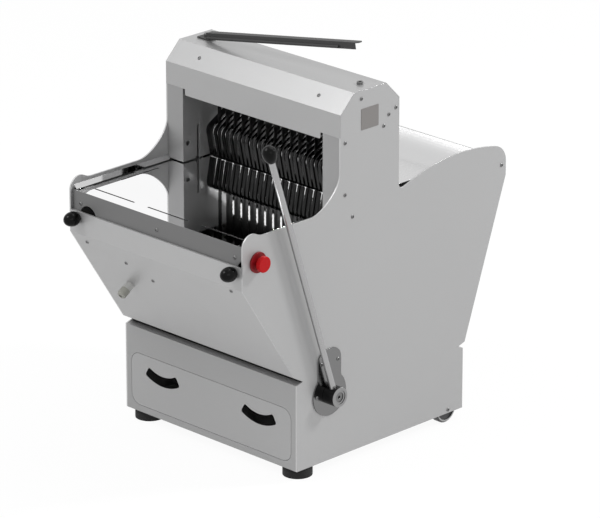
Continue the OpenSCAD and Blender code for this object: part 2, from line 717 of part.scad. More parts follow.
// Rear wheels
wheel_gap = 1.5;
axle_r = 6;
bracket_t = 3;
bracket_w = 36;
bracket_h = 34;
tyre_share = 0.79;
hub_share = 0.4;
wheel_dish = 4;
wheel_x = in_x - wheel_gap - wheel_w;
boss_r = hub_share * wheel_r;
rim_r = tyre_share * wheel_r;
wheel_half = [[axle_r + run_fit, 0], [boss_r, 0], [boss_r, wheel_dish], [rim_r, wheel_dish], [rim_r, 0],
    [wheel_r - wheel_dish, 0], [wheel_r, wheel_dish]];
wheel_far = [for (i = [len(wheel_half) - 1:-1:0]) [wheel_half[i][0], wheel_w - wheel_half[i][1]]];
module wheel() translate([wheel_x, wheel_y, wheel_r]) rotate([90, 0, 90]) rotate_extrude()
    polygon(concat(wheel_half, wheel_far));
module wheel_left() color("DimGray") placed() mirror([1, 0, 0]) wheel();
module wheel_right() color("DimGray") placed() wheel();

module wheel_brackets() color("Gray") placed() both_sides() difference() {
    union() {
        slab([in_x - well_w - bracket_t, wheel_y - bracket_w / 2, ground_h + sheet_t],
            [in_x - well_w, wheel_y + bracket_w / 2, ground_h + bracket_h]);
        rod_x(in_x - well_w - bracket_t, in_x, wheel_at, axle_r);
    }
    screw_holes(in_x - screw_l, in_x + cut, [wheel_at]);
}

// Feed lever, its shaft and the rocker arms
bearing_l = 20;
bearing_flange_r = 32;
bearing_flange_t = 10;
hub_x = half_w + plate_t + gap;
shaft_end_in = 3;
shaft_left_in = 3;
socket_depth = 11;
centre_hole_r = 4;
centre_hole_l = 6;
hub_ring_r = 18;
hub_ring_t = 1.5;
knob_l = 43.5;
knob_neck_r = 10;
knob_crown = 19;
rocker_t = 8;
rocker_in = 44;
rocker_pin_r = 8;
rocker_eye_r = 16;
rocker_pin_l = 14;
rocker_x = in_x - rocker_in;
rocker_rest = 20;
lever_swing = 39;
pin_at = lever_at + rocker_l * [-sin(rocker_rest), cos(rocker_rest)];
push_stroke = rocker_l * (sin(rocker_rest) + sin(lever_swing - rocker_rest));
plate_r = 56;
plate_half = 39;
plate_top = 117;
plate_corner = 30;
plate_fillet = 12;
fillet_z = sqrt(pow(plate_r + plate_fillet, 2) - pow(plate_half + plate_fillet, 2));
module plate_2d() {
    circle(plate_r);
    round_box([-plate_half, -plate_corner], [plate_half, plate_top], plate_corner);
    for (s = [-1, 1]) difference() {
        polygon([[0, 0], [s * plate_half, fillet_z], [s * (plate_half + plate_fillet), fillet_z]]);
        translate([s * (plate_half + plate_fillet), fillet_z]) circle(plate_fillet);
    }
}
module lever_plate() color("Gainsboro") placed() difference() {
    side_plate(half_w, half_w + plate_t) translate(lever_at) plate_2d();
    screw_holes(half_w - cut, half_w + plate_t + cut, [for (p = plate_screws) lever_at + p]);
    rod_x(half_w - cut, half_w + plate_t + cut, lever_at, bearing_r + pin_fit);
}

module lever_bearings() color("Gray") placed() {
    difference() {
        union() {
            rod_x(in_x - bearing_l, half_w + plate_t, lever_at, bearing_r);
            rod_x(in_x - bearing_flange_t, in_x, lever_at, bearing_flange_r);
        }
        rod_x(in_x - bearing_l - cut, half_w + plate_t + cut, lever_at, shaft_r + run_fit);
    }
    difference() {
        union() {
            rod_x(-in_x, bearing_l - in_x, lever_at, bearing_r);
            rod_x(-in_x, bearing_flange_t - in_x, lever_at, bearing_flange_r);
        }
        rod_x(-in_x - cut, bearing_l + cut - in_x, lever_at, shaft_r + run_fit);
    }
}

module cross_shaft() color("Silver") placed() difference() {
    rod_x(shaft_left_in - in_x, hub_x + hub_l - shaft_end_in, lever_at, shaft_r);
    rod_x(hub_x + hub_l - shaft_end_in - centre_hole_l, hub_x + hub_l, lever_at, centre_hole_r);
}

module rocker_arms() color("Gray") placed() both_sides() {
    difference() {
        side_plate(rocker_x, rocker_x + rocker_t) bar_2d(lever_at, pin_at, hub_r, rocker_eye_r);
        rod_x(rocker_x - cut, rocker_x + rocker_t + cut, lever_at, shaft_r + pin_fit);
    }
    rod_x(rocker_x + rocker_t, rocker_x + rocker_t + rocker_pin_l, pin_at, rocker_pin_r);
}

module on_lever(z) translate([rod_x_at, lever_y, lever_z]) rotate([lever_lean, 0, 0])
    translate([0, 0, z]) children();

module lever_hub() color("Silver") placed() difference() {
    rod_x(hub_x, hub_x + hub_l, lever_at, hub_r);
    rod_x(hub_x - cut, hub_x + hub_l + cut, lever_at, shaft_r + pin_fit);
    rod_x(hub_x + hub_l - hub_ring_t, hub_x + hub_l + cut, lever_at, hub_ring_r);
    on_lever(hub_r - socket_depth) cylinder(h = hub_r, r = lever_d / 2 + pin_fit);
}

knob_foot = lever_l + knob_crown - knob_l;
lever_from = hub_r - socket_depth + pin_fit;
lever_to = knob_foot + bore_share * knob_l - pin_fit;
module lever_rod() color("Silver") placed() on_lever(lever_from)
    cylinder(h = lever_to - lever_from, r = lever_d / 2);

module lever_knob() color("Black") placed() on_lever(knob_foot) rotate_extrude()
    polygon(egg_profile(lever_knob_d / 2, knob_neck_r, knob_l, knob_crown, lever_d / 2 + pin_fit));

// Stop button
stop_collar_t = 4.5;
stop_head_t = 11;
stop_edge = 3;
stop_stem_in = 2;
stop_neck = 5;
contact_w = 40;
contact_l = 46;
stop_under = half_w + stop_collar_t + stop_neck + stop_travel;
module on_stop(x) translate([x, stop_at[0], stop_at[1]]) rotate([0, 90, 0]) children();
module stop_collar() color("Maroon") placed() difference() {
    on_stop(half_w) rotate_extrude() polygon([[0, 0], [stop_collar_d / 2, 0],
        [stop_collar_d / 2, stop_collar_t - cut], [stop_collar_d / 2 - cut, stop_collar_t],
        [0, stop_collar_t]]);
    rod_x(half_w - cut, half_w + stop_collar_t + cut, stop_at, stop_stem_r + run_fit);
}
module stop_button() color("Red") placed() {
    on_stop(stop_under) rotate_extrude() polygon(concat([[0, 0], [stop_d / 2 - cut, 0], [stop_d / 2, cut]],
        arc_pts([stop_d / 2 - stop_edge, stop_head_t - stop_edge], stop_edge, 0, 90, arc_n),
        [[0, stop_head_t]]));
    rod_x(half_w - stop_stem_in, stop_under, stop_at, stop_stem_r);
}
module stop_contact() color("DimGray") placed() difference() {
    slab([in_x - contact_l, stop_at[0] - contact_w / 2, stop_at[1] - contact_w / 2],
        [in_x, stop_at[0] + contact_w / 2, stop_at[1] + contact_w / 2]);
    rod_x(in_x - 2 * stop_travel, in_x + cut, stop_at, stop_hole_r);
}

// Knife frames: knives alternate between the front and the rear frame
bar_d = 14;
bar_h = 25;
bush_r = 7;
bush_half = 11.5;
bush_h = 30;
bush_in = 5;
upright_gap = 7;
upright_x = open_half + upright_gap;
guide_in = 19;
guide_x = in_x - guide_in;
bar_drop = 43;
bar_head = 66;
bar_low = table_z - bar_drop;
bar_high = tower_top - bar_head;
knife_end = 12;
tooth_step = 11;
tooth_depth = 1.5;
comb_edge = 22;
knife_n = 2 * floor((open_half - comb_edge) / knife_pitch + 0.5);
knife_front = [for (i = [0:2:knife_n - 1]) (i - (knife_n - 1) / 2) * knife_pitch];
knife_rear = [for (i = [1:2:knife_n - 1]) (i - (knife_n - 1) / 2) * knife_pitch];
lug_t = 8;
lug_w = 12;
lug_low = 15;
rod_l = 182;
rod_z_at = crank_z + rod_l;
tooth_n = floor((bar_high - bar_low) / tooth_step);
tooth_pitch = (bar_high - bar_low) / tooth_n;
function knife_outline(y) = concat(
    [[y - knife_w / 2, bar_low - knife_end], [y + knife_w / 2, bar_low - knife_end]],
    [for (i = [0:2 * tooth_n]) [y + knife_w / 2 - (i % 2) * tooth_depth, bar_low + i * tooth_pitch / 2]],
    [[y + knife_w / 2, bar_high + knife_end], [y - knife_w / 2, bar_high + knife_end]]);

module knives(y, list) for (x = list) side_plate(x - knife_t / 2, x + knife_t / 2) polygon(knife_outline(y));

module frame(y, list, lug_x) difference() {
    union() {
        for (z = [bar_low - bar_h, bar_high])
            slab([-upright_x - bar_d, y - bar_d / 2, z], [upright_x + bar_d, y + bar_d / 2, z + bar_h]);
        both_sides() {
            slab([upright_x, y - bar_d / 2, bar_low - bar_h],
                [upright_x + bar_d, y + bar_d / 2, bar_high + bar_h]);
            for (z = [bar_low - bush_h / 2 + cut + slide_gap, bar_high - bush_h])
                slab([upright_x + bar_d, y - bush_half, z], [in_x - bush_in, y + bush_half, z + bush_h]);
            slab([lug_x, y - lug_w / 2, rod_z_at - lug_low],
                [lug_x + lug_t, y + lug_w / 2, bar_low - bar_h]);
        }
    }
    both_sides() rod_z(bar_low - bar_h, bar_high + bar_h, [guide_x, y], bush_r + run_fit);
    for (x = list, z = [bar_low - knife_end - pin_fit, bar_high - cut])
        slab([x - knife_t / 2 - pin_fit, y - knife_w / 2 - pin_fit, z],
            [x + knife_t / 2 + pin_fit, y + knife_w / 2 + pin_fit, z + knife_end + cut + pin_fit]);
}

rear_y = knife_y + knife_gap;
module front_frame() color("DimGray") placed() frame(knife_y, knife_front, rod_front_x + rod_t / 2 + cut);
module rear_frame() color("DimGray") placed() frame(rear_y, knife_rear, rod_rear_x + rod_t / 2 + cut);
module front_knives() color("LightGray") placed() knives(knife_y, knife_front);
module rear_knives() color("LightGray") placed() knives(rear_y, knife_rear);

clamp_h = 25;
clamp_w = 30;
clamp_edge = 13;
clamp_drop = 15;
clamp_gap = 5;
clamp_low = bar_low - bar_h - knife_stroke / 2 - clamp_drop;
clamp_high = bar_high + knife_stroke / 2 + clamp_gap;
module guide_rods() color("Silver") placed() both_sides() for (y = [knife_y, rear_y])
    rod_z(clamp_low, clamp_high + clamp_h, [guide_x, y], bush_r);
module rod_clamps() color("Gray") placed() both_sides() for (z = [clamp_low, clamp_high]) difference() {
    slab([in_x - clamp_w, knife_y - clamp_edge, z], [in_x, rear_y + clamp_edge, z + clamp_h]);
    for (y = [knife_y, rear_y])
        rod_z(z - cut, z + clamp_h + cut, [guide_x, y], bush_r + pin_fit);
}

// Pusher: finger comb, bar, side plates and slide blocks
tip_back = 90;
tip_gap = 4;
leg_h = 58;
bend_r = 22;
comb_gap = 4;
comb_side = 1.5;
comb_y = 173;
bar_deep = 24;
comb_bar_h = 20;
comb_bar_low = 13;
side_in = 31;
pusher_t = 6;
slot_gap = 1.5;
slot_end = 2;
pusher_arm = [22, 55];
pusher_leg = 34;
lobe_w = 25;
lobe_low = 30;
lobe_high = 30;
leg_dir = [-sin(finger_lean), cos(finger_lean)];
arm_dir = [cos(finger_slope), sin(finger_slope)];
finger_tip = [tower_y + tip_back, table_z + tip_gap];
finger_bend = finger_tip + leg_h / cos(finger_lean) * leg_dir;
bend_c = finger_bend - bend_r * left_of(leg_dir);
bend_end = bend_c + bend_r * left_of(arm_dir);
bar_y = tower_y + comb_y;
arm_end = bend_end + (bar_y - bend_end[0] + finger_t) / arm_dir[0] * arm_dir;
bar_z = arm_end[1];
bar_foot = bar_z - comb_bar_low - finger_t;
bend_n = 8;
finger_path = concat([finger_tip],
    arc_pts(bend_c, bend_r, 180 + finger_lean, 90 + finger_slope, bend_n), [arm_end]);
comb_out = [(knife_n - 1) / 2 * knife_pitch + comb_gap, open_half - comb_side];
finger_xs = [for (i = [1:knife_n - 1]) (i - knife_n / 2) * knife_pitch];
module finger(x, to_x) difference() {
    side_plate(x, to_x) polygon(strip(finger_path, -finger_t));
    slab([x - cut, bar_y, bar_foot - bar_deep], [to_x + cut, bar_y + bar_deep, bar_z + bar_deep]);
}
module comb_fingers() color("DimGray") placed() {
    for (x = finger_xs) finger(x - finger_w / 2, x + finger_w / 2);
    both_sides() finger(comb_out[0], comb_out[1]);
}
module comb_bar() color("DimGray") placed() slab([side_in - in_x, bar_y, bar_foot],
    [in_x - side_in, bar_y + bar_deep, bar_foot + comb_bar_h + finger_t]);

pusher_x = in_x - side_in;
leg_y = [bar_y - pusher_leg / 4, bar_y + 3 * pusher_leg / 4];
arm_low = pin_at[1] - pusher_arm[0];
pin_rise = rocker_l * (1 - cos(rocker_rest));
slot_half = rocker_pin_r + slot_gap;
leg_top = bar_foot + comb_bar_h + finger_t;
module pusher_2d() difference() {
    union() {
        translate([pin_at[0], arm_low]) square([leg_y[1] - pin_at[0], pusher_arm[1]]);
        translate([leg_y[0], arm_low]) square([leg_y[1] - leg_y[0], leg_top - arm_low]);
        round_box(pin_at - [lobe_w, lobe_low], pin_at + [lobe_w, pin_rise + lobe_high], slot_half);
    }
    round_box(pin_at - [slot_half, slot_half + slot_end],
        pin_at + [slot_half, pin_rise + slot_half + slot_end], slot_half - pin_fit);
}
module pusher_sides() color("Gray") placed() both_sides()
    side_plate(pusher_x, pusher_x + pusher_t) pusher_2d();

rail_r = 7;
rail_side = 13;
rail_rise = 20;
rail_x = in_x - rail_side;
rail_z = apron_bend_z + rail_rise;
block_l = 45;
block_h = 30;
block_gap = 2;
bracket_l = 12;
rail_lead = 18;
rail_tail = 60;
block_edge = 6;
block_y = leg_y[0] - block_edge;
rail_y = [block_y - rail_lead, block_y + block_l + push_stroke + rail_tail];
module slide_blocks() color("DimGray") placed() both_sides() difference() {
    slab([pusher_x + pusher_t, block_y, rail_z - block_h / 2],
        [in_x - block_gap, block_y + block_l, rail_z + block_h / 2]);
    rod_y(block_y - cut, block_y + block_l + cut, [rail_x, rail_z], rail_r + run_fit);
}
module slide_rails() color("Silver") placed() both_sides()
    rod_y(rail_y[0], rail_y[1], [rail_x, rail_z], rail_r);
module rail_bracket(y) difference() {
    slab([pusher_x + pusher_t + cut, y, rail_z - block_h / 2], [in_x, y + bracket_l, rail_z + block_h / 2]);
    rod_y(y - cut, y + bracket_l + cut, [rail_x, rail_z], rail_r + pin_fit);
}
module rail_brackets() color("Gray") placed() both_sides() {
    rail_bracket(rail_y[0]);
    rail_bracket(rail_y[1] - bracket_l);
}

// Drive: shelf, motor, belt, crankshaft and connecting rods
shelf_front = 205;
shelf_gap = 65;
shelf_back = base_d - shelf_gap;
shelf_lip = 35;
shelf_hole = [165, 215, 345];
shelf_z = base_front_z + sheet_t;
crank_at = [crank_y, crank_z];
motor_at = [crank_y + motor_gap, crank_z];
crank_throw = knife_stroke / 2;
cam_wall = 3.5;
cam_r = crank_throw + shaft_r + cam_wall;
cam_t = 16;
rod_t = 14;
rod_ring = 10;
rod_eye_r = 14;
rod_front_x = 150;
rod_rear_x = 120;
rod_waist = 9;
pin_stub = 0.5;
block_x = 190;
block_t = 24;
block_foot = 45;
block_foot_h = 12;
block_r = 28;
crank_end = 206;
pulley_x = -236;
pulley_w = 20;
belt_in = 2;
belt_t = 5;
motor_x = 46;
motor_shaft_r = 10;
motor_bore = 20;
motor_foot = [40, 65, 12];
motor_fan_l = 25;
motor_fan_share = 0.92;
motor_box = [60, 50, 24];
front_cam = crank_at - [crank_throw, 0];
rear_cam = crank_at + [crank_throw, 0];
front_eye = [knife_y, rod_z_at];
rear_eye = [rear_y, rod_z_at];
module drive_shelf() color("Gray") placed() {
    difference() {
        slab([-in_x, shelf_front, base_front_z], [in_x, shelf_back, shelf_z]);
        slab([-shelf_hole[0], shelf_hole[1], base_front_z - cut],
            [shelf_hole[0], shelf_hole[2], shelf_z + cut]);
    }
    both_sides() slab([in_x - sheet_t, shelf_front, shelf_z], [in_x, shelf_back, shelf_z + shelf_lip]);
}

module pillow_blocks() color("DimGray") placed() for (x = [-block_x, block_x]) difference() {
    side_plate(x - block_t / 2, x + block_t / 2) {
        translate(crank_at) circle(block_r);
        translate([crank_y - block_r, shelf_z]) square([2 * block_r, crank_z - shelf_z]);
        translate([crank_y - block_foot, shelf_z]) square([2 * block_foot, block_foot_h]);
    }
    rod_x(x - block_t, x + block_t, crank_at, shaft_r + run_fit);
}

module crankshaft() color("Silver") placed() {
    rod_x(pulley_x, crank_end, crank_at, shaft_r);
    both_sides() {
        rod_x(rod_front_x - cam_t / 2, rod_front_x + cam_t / 2, front_cam, cam_r);
        rod_x(rod_rear_x - cam_t / 2, rod_rear_x + cam_t / 2, rear_cam, cam_r);
    }
}

module con_rods(x, cam, eye) both_sides() difference() {
    union() {
        side_plate(x - rod_t / 2, x + rod_t / 2) {
            translate(cam) circle(cam_r + rod_ring);
            bar_2d(cam, eye, 2 * rod_waist, rod_waist);
            translate(eye) circle(rod_eye_r);
        }
        rod_x(x, x + rod_t / 2 + pin_stub, eye, rod_waist);
    }
    rod_x(x - rod_t, x + rod_t, cam, cam_r + run_fit);
}
module front_rods() color("Gray") placed() con_rods(rod_front_x, front_cam, front_eye);
module rear_rods() color("Gray") placed() con_rods(rod_rear_x, rear_cam, rear_eye);

module drive_pulley() color("DimGray") placed() difference() {
    rod_x(pulley_x, pulley_x + pulley_w, crank_at, pulley_r);
    rod_x(pulley_x - cut, pulley_x + pulley_w + cut, crank_at, shaft_r + pin_fit);
}

motor_from = pulley_x + motor_x;
motor_to = motor_from + motor_l;
module motor_pulley() color("DimGray") placed() {
    rod_x(pulley_x, pulley_x + pulley_w, motor_at, motor_pulley_r);
    rod_x(pulley_x + pulley_w, motor_from + motor_bore - cut, motor_at, motor_shaft_r);
}

module motor() color("SteelBlue") placed() difference() {
    union() {
        rod_x(motor_from, motor_to, motor_at, motor_r);
        rod_x(motor_to, motor_to + motor_fan_l, motor_at, motor_fan_share * motor_r);
        slab([motor_from + motor_foot[0], motor_at[0] - motor_foot[1] / 2, shelf_z],
            [motor_to - motor_foot[0], motor_at[0] + motor_foot[1] / 2, crank_z]);
        slab([motor_from + motor_foot[0], motor_at[0] - motor_foot[1], shelf_z],
            [motor_to - motor_foot[0], motor_at[0] + motor_foot[1], shelf_z + motor_foot[2]]);
        translate([motor_from + (motor_l - motor_box[0]) / 2, motor_at[0] - motor_box[1] / 2, crank_z])
            cube([motor_box[0], motor_box[1], motor_r + motor_box[2]]);
    }
    rod_x(motor_from - cut, motor_from + motor_bore, motor_at, motor_shaft_r + run_fit);
}

belt_a = asin((pulley_r - motor_pulley_r) / motor_gap);
function belt_loop(d) = concat(
    arc_pts(crank_at, pulley_r + d, 90 - belt_a, 270 + belt_a, 2 * arc_n),
    arc_pts(motor_at, motor_pulley_r + d, belt_a - 90, 90 - belt_a, arc_n));
module drive_belt() color("Black") placed()
    side_plate(pulley_x + belt_in, pulley_x + pulley_w - belt_in) difference() {
        polygon(belt_loop(belt_t + slide_gap));
        polygon(belt_loop(slide_gap));
    }

side_panel_left();
side_panel_right();
base_front_panel();
base_floor();
base_back_panel();
apron();
rear_cover();
top_cover();
pillars();
front_table();
table_rails();
table_bearers();
cross_beams();
rear_chute();
front_feet();
drawer_runners();
lever_plate();
lever_bearings();
slide_rails();
rail_brackets();
guide_rods();
rod_clamps();
drive_shelf();
pillow_blocks();
motor();
drive_belt();
stop_collar();
stop_contact();
gland_body();
gland_cap();
wheel_brackets();
side_screws();
front_screws();
top_bolts();
cross_shaft();
rocker_arms();
lever_hub();
lever_rod();
lever_knob();
comb_fingers();
comb_bar();
pusher_sides();
slide_blocks();
front_frame();
front_knives();
rear_frame();
rear_knives();
crankshaft();
drive_pulley();
front_rods();
rear_rods();
motor_pulley();
crumb_drawer();
stop_button();
hand_screw_left();
hand_screw_right();
bag_arm();
wheel_left();
wheel_right();
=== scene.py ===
"""Looks of the bread slicer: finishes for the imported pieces, small fittings, light and camera."""

import math

import bpy
import numpy as np
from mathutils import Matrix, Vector


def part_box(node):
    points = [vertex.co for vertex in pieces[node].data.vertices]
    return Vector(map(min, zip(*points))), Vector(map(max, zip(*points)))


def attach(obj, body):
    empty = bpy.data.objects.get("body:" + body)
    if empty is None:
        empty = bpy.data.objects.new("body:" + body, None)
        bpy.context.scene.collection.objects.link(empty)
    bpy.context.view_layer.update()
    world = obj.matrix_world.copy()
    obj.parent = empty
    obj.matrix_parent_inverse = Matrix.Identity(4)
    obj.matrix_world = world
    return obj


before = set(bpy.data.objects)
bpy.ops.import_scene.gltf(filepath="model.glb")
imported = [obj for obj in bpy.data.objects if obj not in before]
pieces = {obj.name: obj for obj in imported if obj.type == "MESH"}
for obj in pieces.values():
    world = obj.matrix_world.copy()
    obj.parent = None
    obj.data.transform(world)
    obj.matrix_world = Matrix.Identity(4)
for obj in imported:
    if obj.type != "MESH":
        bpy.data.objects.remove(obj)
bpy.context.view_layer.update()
scene = bpy.context.scene
scene.view_settings.view_transform = "Standard"

MM = 0.001
# From the part's own origin, the middle of the base's front edge on the floor, to the frame's origin, in mm
SHIFT = np.array([17.85, 255.5, 0.0])


# ---------------------------------------------------------------- camera

AZIMUTH = math.radians(44.858)
ELEVATION = math.radians(20.382)
REACH = 11.344
LOOK_AT = Vector((-0.017057, 0.056104, 0.415920))
LENS_MM = 275.258
SENSOR_MM = 36
FAR = 200

camera = bpy.data.objects.new("camera", bpy.data.cameras.new("camera"))
scene.collection.objects.link(camera)
camera.data.lens = LENS_MM
camera.data.sensor_width = SENSOR_MM
camera.data.sensor_fit = "HORIZONTAL"
camera.data.clip_end = FAR
away = Vector((math.sin(AZIMUTH) * math.cos(ELEVATION),
               -math.cos(AZIMUTH) * math.cos(ELEVATION),
               math.sin(ELEVATION)))
camera.location = LOOK_AT + REACH * away
camera.rotation_euler = (-away).to_track_quat("-Z", "Y").to_euler()
scene.camera = camera


# ---------------------------------------------------------------- node helpers

def add(tree, kind, inputs=None, **settings):
    """Places one shader node, sets its own settings, and sets or links its inputs."""
    made = tree.nodes.new("ShaderNode" + kind)
    for key, value in settings.items():
        setattr(made, key, value)
    for key, value in (inputs or {}).items():
        if isinstance(value, bpy.types.NodeSocket):
            tree.links.new(value, made.inputs[key])
        else:
            made.inputs[key].default_value = value
    return made


def new_group(name, inputs, outputs):
    """Starts a shader node group with named sockets; its tree, its input node and its output node."""
    tree = bpy.data.node_groups.new(name, "ShaderNodeTree")
    for label, kind, value in inputs:
        socket = tree.interface.new_socket(label, in_out="INPUT", socket_type="NodeSocket" + kind)
        socket.default_value = value
    for label, kind in outputs:
        tree.interface.new_socket(label, in_out="OUTPUT", socket_type="NodeSocket" + kind)
    return tree, tree.nodes.new("NodeGroupInput"), tree.nodes.new("NodeGroupOutput")


def maths(tree, operation, first, second=0.0, third=0.0):
    """One Math node; its output socket."""
    return add(tree, "Math", {0: first, 1: second, 2: third}, operation=operation).outputs[0]


def blend_colour(tree, factor, first, second):
    """A colour that goes from first to second as factor goes from 0 to 1."""
    made = add(tree, "Mix", {0: factor}, data_type="RGBA")
    for place, value in ((6, first), (7, second)):
        if isinstance(value, bpy.types.NodeSocket):
            tree.links.new(value, made.inputs[place])
        else:
            made.inputs[place].default_value = (*value, 1)
    return made.outputs[2]


# Rolled sheet: long fine scratches along the rolling direction, and broad faint clouds across the sheet
rolled, come, go = new_group(
    "rolled sheet",
    [("Stretch", "Vector", (4, 1400, 1400)), ("Clouds", "Float", 5.0), ("Scratch Depth", "Float", 1.0)],
    [("Grain", "Float"), ("Cloud", "Float"), ("Height", "Float")])
where = add(rolled, "TexCoord").outputs["Object"]
drawn = add(rolled, "VectorMath", {0: where, 1: come.outputs["Stretch"]}, operation="MULTIPLY").outputs[0]
grain = add(rolled, "TexNoise", {"Vector": drawn, "Scale": 1.0, "Detail": 3.0, "Roughness": 0.6}).outputs[0]
cloud = add(rolled, "TexNoise", {"Vector": where, "Scale": come.outputs["Clouds"], "Detail": 2.0}).outputs[0]
rolled.links.new(grain, go.inputs["Grain"])
rolled.links.new(cloud, go.inputs["Cloud"])
rolled.links.new(maths(rolled, "MULTIPLY", grain, come.outputs["Scratch Depth"]), go.inputs["Height"])

# Handling marks: a few soft patches where hands have dulled the finish
handled, come, go = new_group(
    "handling marks", [("Size", "Float", 9.0), ("Amount", "Float", 0.5)], [("Mark", "Float")])
where = add(handled, "TexCoord").outputs["Object"]
patch = add(handled, "TexNoise", {"Vector": where, "Scale": come.outputs["Size"], "Detail": 4.0,
                                  "Distortion": 0.6}).outputs[0]
soft = add(handled, "MapRange", {0: patch, 1: 0.52, 2: 0.72, 3: 0.0, 4: 1.0}).outputs[0]
handled.links.new(maths(handled, "MULTIPLY", soft, come.outputs["Amount"]), go.inputs["Mark"])

# Moulded skin: the fine pebble of moulded plastic or rubber
moulded, come, go = new_group(
    "moulded skin",
    [("Pebble", "Float", 900.0), ("Depth", "Float", 1.0)],
    [("Height", "Float"), ("Tone", "Float")])
where = add(moulded, "TexCoord").outputs["Object"]
pebble = add(moulded, "TexNoise", {"Vector": where, "Scale": come.outputs["Pebble"], "Detail": 2.0}).outputs[0]
tone = add(moulded, "TexNoise", {"Vector": where, "Scale": 40.0, "Detail": 3.0}).outputs[0]
moulded.links.new(maths(moulded, "MULTIPLY", pebble, come.outputs["Depth"]), go.inputs["Height"])
moulded.links.new(tone, go.inputs["Tone"])


def new_material(name):
    """An empty material with its Principled shader and output."""
    made = bpy.data.materials.new(name)
    made.use_nodes = True
    tree = made.node_tree
    tree.nodes.clear()
    shader = add(tree, "BsdfPrincipled")
    out = add(tree, "OutputMaterial")
    tree.links.new(shader.outputs[0], out.inputs[0])
    return made, tree, shader


def use_group(tree, group, **inputs):
    """Places a node group with its own values."""
    made = tree.nodes.new("ShaderNodeGroup")
    made.node_tree = group
    for key, value in inputs.items():
        made.inputs[key.replace("_", " ")].default_value = value
    return made


# Grain drawn out along one axis: few changes for each metre along it, many across it
ALONG_X = (4, 1400, 1400)
ALONG_Y = (1400, 4, 1400)
ALONG_Z = (1400, 1400, 4)
CLOUDS = 5.0
MARK_SIZE = 9.0
MARK_AMOUNT = 0.3
GRAIN_SHARE = 0.5
BUMP_REACH = 0.4 * MM
EASE_SAMPLES = 4
SKIN_ROUGH_SPREAD = 0.08


def ease_and_bump(tree, shader, height, depth, rounding):
    """Rounds the edges' shading by so many mm and adds a fine relief."""
    eased = add(tree, "Bevel", {"Radius": rounding * MM}, samples=EASE_SAMPLES).outputs[0]
    bump = add(tree, "Bump", {"Strength": depth, "Distance": BUMP_REACH, "Height": height, "Normal": eased})
    tree.links.new(bump.outputs[0], shader.inputs["Normal"])


def metal(name, light, dark, rough, stretch=ALONG_X, metallic=1.0, rough_spread=0.08, depth=0.15,
          rounding=0.6):
    """Rolled or drawn metal: tone and roughness follow its grain, marks dull it, edges are eased."""
    made, tree, shader = new_material(name)
    sheet = use_group(tree, rolled, Stretch=stretch, Clouds=CLOUDS, Scratch_Depth=1.0)
    marked = use_group(tree, handled, Size=MARK_SIZE, Amount=MARK_AMOUNT)
    mixed = maths(tree, "MULTIPLY_ADD", sheet.outputs["Grain"], GRAIN_SHARE,
                  maths(tree, "MULTIPLY", sheet.outputs["Cloud"], 1 - GRAIN_SHARE))
    toned = blend_colour(tree, mixed, dark, light)
    worn = maths(tree, "MULTIPLY_ADD", marked.outputs["Mark"], rough_spread, rough)
    tree.links.new(toned, shader.inputs["Base Color"])
    tree.links.new(maths(tree, "MULTIPLY_ADD", sheet.outputs["Grain"], rough_spread, worn),
                   shader.inputs["Roughness"])
    shader.inputs["Metallic"].default_value = metallic
    ease_and_bump(tree, shader, sheet.outputs["Height"], depth, rounding)
    return made


def moulding(name, light, dark, rough, pebble=900.0, depth=0.1, gloss=0.5, rounding=0.8):
    """Moulded plastic or rubber: a faint change of tone, a pebbled skin and eased edges."""
    made, tree, shader = new_material(name)
    skin = use_group(tree, moulded, Pebble=pebble, Depth=1.0)
    tree.links.new(blend_colour(tree, skin.outputs["Tone"], dark, light), shader.inputs["Base Color"])
    tree.links.new(maths(tree, "MULTIPLY_ADD", skin.outputs["Tone"], SKIN_ROUGH_SPREAD, rough),
                   shader.inputs["Roughness"])
    shader.inputs["Specular IOR Level"].default_value = gloss
    ease_and_bump(tree, shader, skin.outputs["Height"], depth, rounding)
    return made


# ---------------------------------------------------------------- finishes

def grey(value, spread=0.03, warmth=0.004):
    """A light and a dark tone about one grey."""
    light, dark = value * (1 + spread), value * (1 - spread)
    return (light, light, light + warmth * value), (dark, dark, dark + warmth * value)


# The satin sheets are one steel: their greys differ only to match how lit or shaded each sheet looks, which is
# painted light and shade. The base front is darker as painted shade under the apron, the pillars are darker as
# painted shade, and the apron is lighter as painted light.
side_satin = metal("side satin", *grey(0.385), 0.42, ALONG_Y, metallic=0.55)
front_satin = metal("front satin", *grey(0.37), 0.42, ALONG_X, metallic=0.55)
base_satin_painted_shade = metal("base satin painted shade", *grey(0.335), 0.42, ALONG_X, metallic=0.55)
apron_satin_painted_light = metal("apron satin painted light", *grey(0.425), 0.42, ALONG_X, metallic=0.55)
pillar_satin_painted_shade = metal("pillar satin painted shade", *grey(0.29), 0.4, ALONG_Z, metallic=0.55)
cover_satin = metal("cover satin", *grey(0.375), 0.28, ALONG_X, metallic=0.7)
plate_polish = metal("plate polish", *grey(0.2), 0.1, ALONG_Y, rough_spread=0.04)
table_mirror = metal("table mirror", *grey(0.93, 0.015), 0.02, ALONG_X, rough_spread=0.02, depth=0.01)
rail_mirror = metal("rail mirror", *grey(0.6), 0.05, ALONG_Y, rough_spread=0.02, depth=0.02)
chute_polish = metal("chute polish", *grey(0.6), 0.22, ALONG_Y)
plain_steel = metal("plain steel", *grey(0.3, 0.08), 0.38, ALONG_X)
turned_steel = metal("turned steel", *grey(0.5, 0.06), 0.22, ALONG_Z)
screw_steel = metal("screw steel", *grey(0.18, 0.06), 0.26, ALONG_Z)
rod_steel = metal("rod steel", *grey(0.38, 0.05), 0.2, ALONG_Z, metallic=0.9)
hub_steel = metal("hub steel", *grey(0.03, 0.1), 0.25, ALONG_X)
frame_steel = metal("frame steel", *grey(0.05, 0.2), 0.4, ALONG_X)
